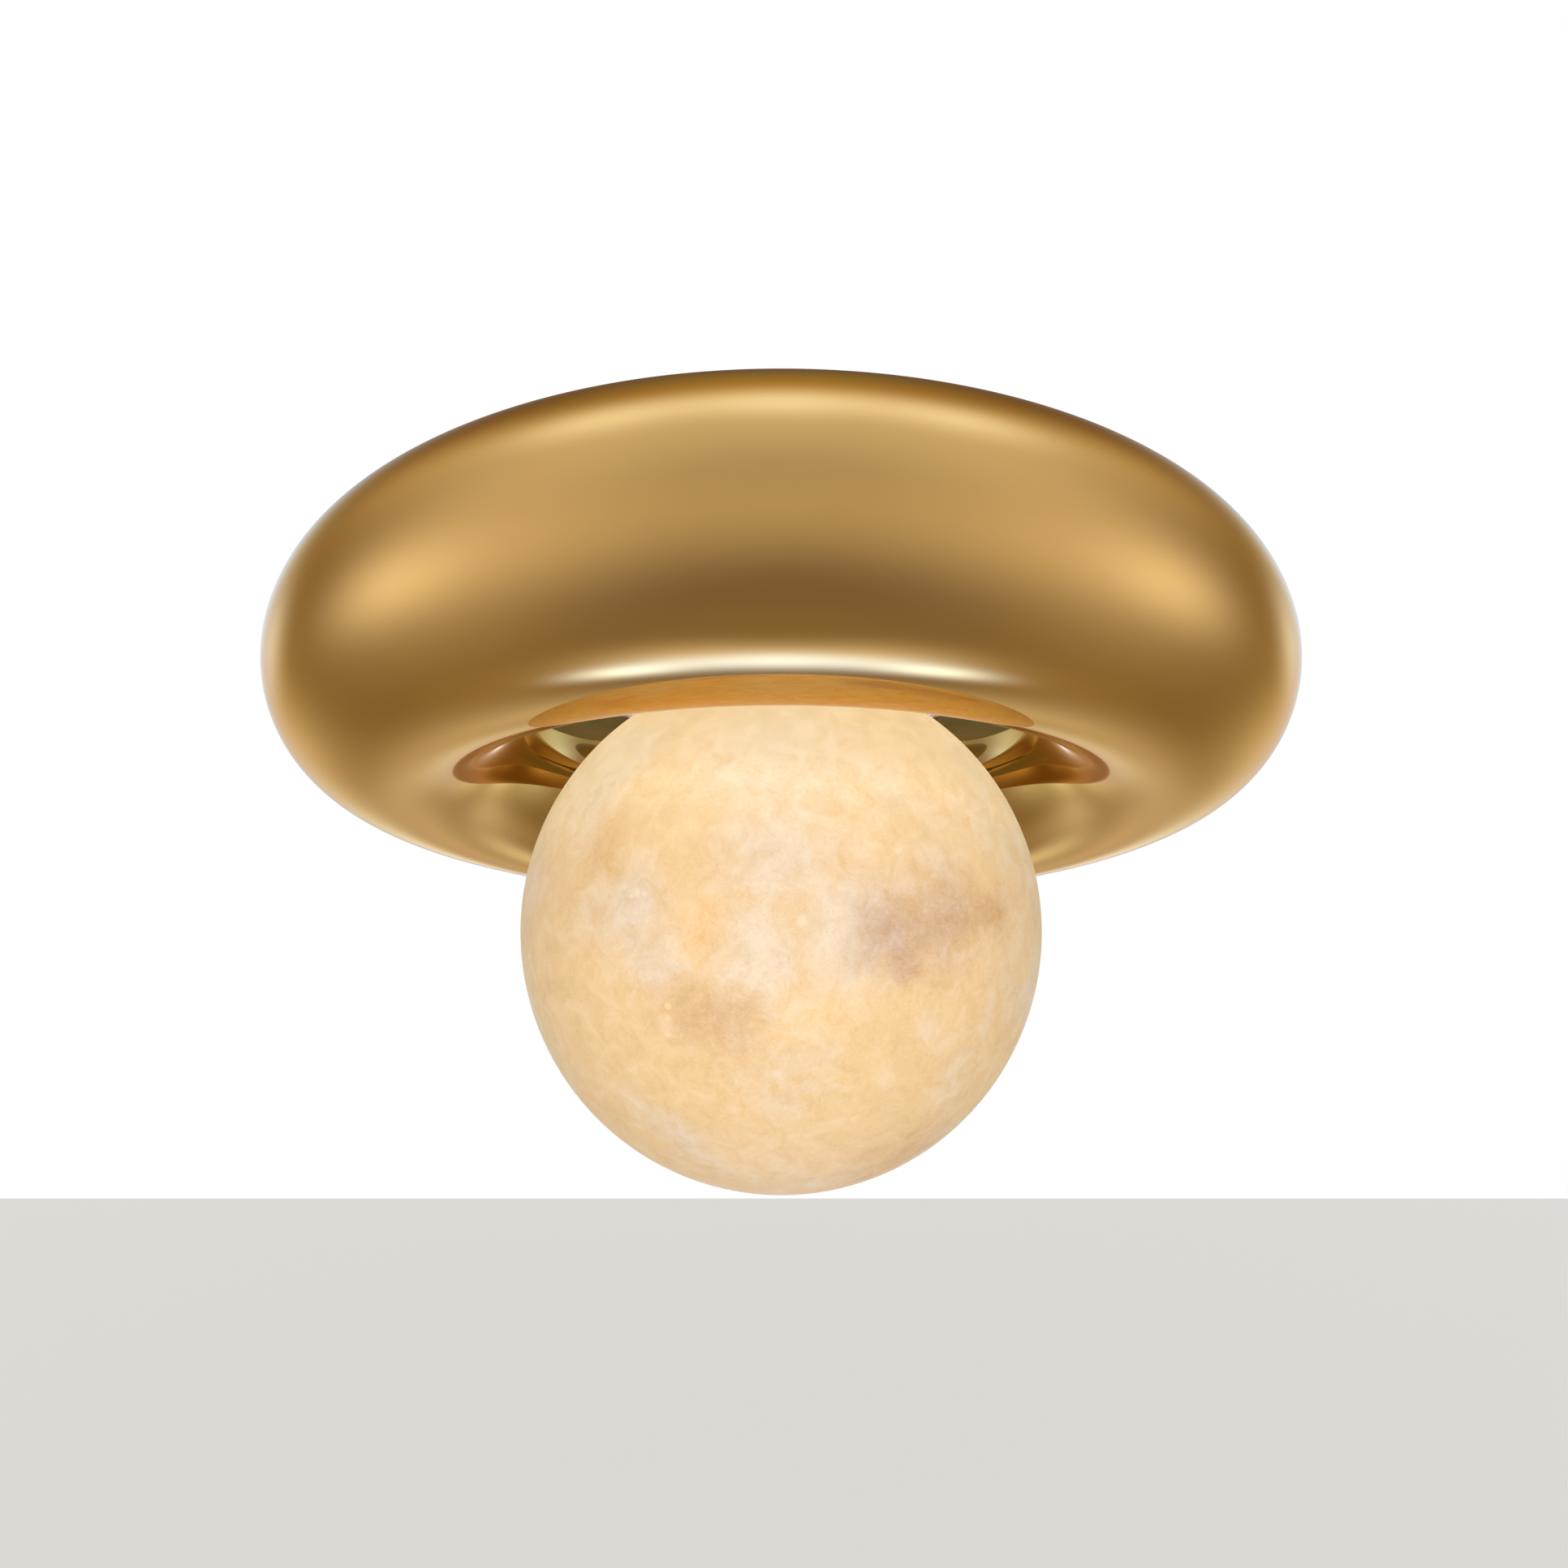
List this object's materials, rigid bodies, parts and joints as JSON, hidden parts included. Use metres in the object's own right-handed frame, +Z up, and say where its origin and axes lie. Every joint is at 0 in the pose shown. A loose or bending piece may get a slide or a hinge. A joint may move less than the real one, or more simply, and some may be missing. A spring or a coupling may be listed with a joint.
{
  "type": "flush mount ceiling light",
  "caption": "Round flush mount ceiling light: a polished brass ring on the ceiling with a lit alabaster globe nested in its hole.",
  "frame": {"origin": "centre of the crossbar's box screw slots, on the ceiling plane", "axes": "+Z up into the ceiling, the fixture hangs along -Z; the crossbar lies along X; the picture looks along +Y from below"},
  "size_m": [0.3926, 0.3926, 0.2273],
  "materials": {
    "polished_brass": "polished and lacquered brass",
    "satin_brass": "satin brass",
    "zinc_steel": "zinc plated steel",
    "green_screw": "green passivated steel",
    "alabaster": "honed alabaster, lit from inside",
    "clear_silicone": "translucent silicone",
    "white_nylon": "natural nylon",
    "white_ceramic": "unglazed steatite",
    "nickel_pins": "nickel wire",
    "bulb_plastic": "white moulded plastic",
    "led_board": "white board with light-emitting strips",
    "frosted_envelope": "frosted glass",
    "black_insulation": "wire insulation",
    "white_insulation": "wire insulation",
    "green_insulation": "wire insulation"
  },
  "bodies": {
    "fixture": {"ring_shell": "polished_brass", "canopy_pan": "satin_brass", "globe_holder": "satin_brass", "nipple_spacer": "satin_brass", "lamp_cup": "satin_brass", "cap_washers": "satin_brass", "back_plate": "zinc_steel", "crossbar": "zinc_steel", "mounting_studs": "zinc_steel", "stud_nuts": "zinc_steel", "center_nipple": "zinc_steel", "nipple_star_washer": "zinc_steel", "nipple_top_nut": "zinc_steel", "lamp_cup_nut": "zinc_steel", "lamp_plate": "zinc_steel", "ring_screws": "zinc_steel", "pan_rivets": "zinc_steel", "ground_tag": "zinc_steel", "lamp_bus_tabs": "nickel_pins", "terminal_block": "white_nylon", "nipple_bushing": "white_nylon", "lamp_hub": "white_nylon", "lamp_holder_1": "white_ceramic", "lamp_holder_2": "white_ceramic", "lamp_holder_3": "white_ceramic", "live_lead": "black_insulation", "neutral_lead": "white_insulation", "ground_lead": "green_insulation"},
    "thread_carrier": {"slip_washer": "white_nylon"},
    "globe": {"globe_collar": "satin_brass", "mouth_gasket": "clear_silicone", "alabaster_globe": "alabaster", "inner_gasket": "clear_silicone", "clamp_ring": "satin_brass"},
    "cap_nut_left": {"cap_nut_left": "satin_brass"},
    "cap_nut_right": {"cap_nut_right": "satin_brass"},
    "earth_screw": {"ground_screw": "green_screw"},
    "terminal_screw_1": {"terminal_screw_1": "zinc_steel"},
    "terminal_screw_2": {"terminal_screw_2": "zinc_steel"},
    "terminal_screw_3": {"terminal_screw_3": "zinc_steel"},
    "bulb_1": {"bulb_1_pins": "nickel_pins", "bulb_1_base": "bulb_plastic", "bulb_1_board": "led_board", "bulb_1_envelope": "frosted_envelope"},
    "bulb_2": {"bulb_2_pins": "nickel_pins", "bulb_2_base": "bulb_plastic", "bulb_2_board": "led_board", "bulb_2_envelope": "frosted_envelope"},
    "bulb_3": {"bulb_3_pins": "nickel_pins", "bulb_3_base": "bulb_plastic", "bulb_3_board": "led_board", "bulb_3_envelope": "frosted_envelope"}
  },
  "joints": [
    {"name": "globe_lower", "type": "slide", "parent": "fixture", "child": "thread_carrier", "axis": [0, 0, -1], "range_m": [0, 0.01]},
    {"name": "globe_turn", "type": "hinge", "parent": "thread_carrier", "child": "globe", "pos_m": [0, 0, -0.12729], "axis": [0, 0, -1], "range_deg": [0, 1440]},
    {"name": "bulb_1_pull", "type": "slide", "parent": "fixture", "child": "bulb_1", "axis": [0, 0, -1], "range_m": [0, 0.015]},
    {"name": "bulb_2_pull", "type": "slide", "parent": "fixture", "child": "bulb_2", "axis": [0, 0, -1], "range_m": [0, 0.015]},
    {"name": "bulb_3_pull", "type": "slide", "parent": "fixture", "child": "bulb_3", "axis": [0, 0, -1], "range_m": [0, 0.015]},
    {"name": "cap_nut_left_turn", "type": "hinge", "parent": "fixture", "child": "cap_nut_left", "pos_m": [-0.0575, 0, -0.0358], "axis": [0, 0, -1], "range_deg": [0, 1800]},
    {"name": "cap_nut_right_turn", "type": "hinge", "parent": "fixture", "child": "cap_nut_right", "pos_m": [0.0575, 0, -0.0358], "axis": [0, 0, -1], "range_deg": [0, 1800]},
    {"name": "earth_screw_turn", "type": "hinge", "parent": "fixture", "child": "earth_screw", "pos_m": [-0.022, 0, -0.004], "axis": [0, 0, -1], "range_deg": [0, 1080]},
    {"name": "terminal_screw_1_turn", "type": "hinge", "parent": "fixture", "child": "terminal_screw_1", "pos_m": [-0.008, 0.04, -0.02], "axis": [0, 0, 1], "range_deg": [0, 1080]},
    {"name": "terminal_screw_2_turn", "type": "hinge", "parent": "fixture", "child": "terminal_screw_2", "pos_m": [0, 0.04, -0.02], "axis": [0, 0, 1], "range_deg": [0, 1080]},
    {"name": "terminal_screw_3_turn", "type": "hinge", "parent": "fixture", "child": "terminal_screw_3", "pos_m": [0.008, 0.04, -0.02], "axis": [0, 0, 1], "range_deg": [0, 1080]}
  ],
  "couplings": [
    {"joint": "globe_lower", "follows": "globe_turn", "m_per_rad": 0.00039789}
  ]
}
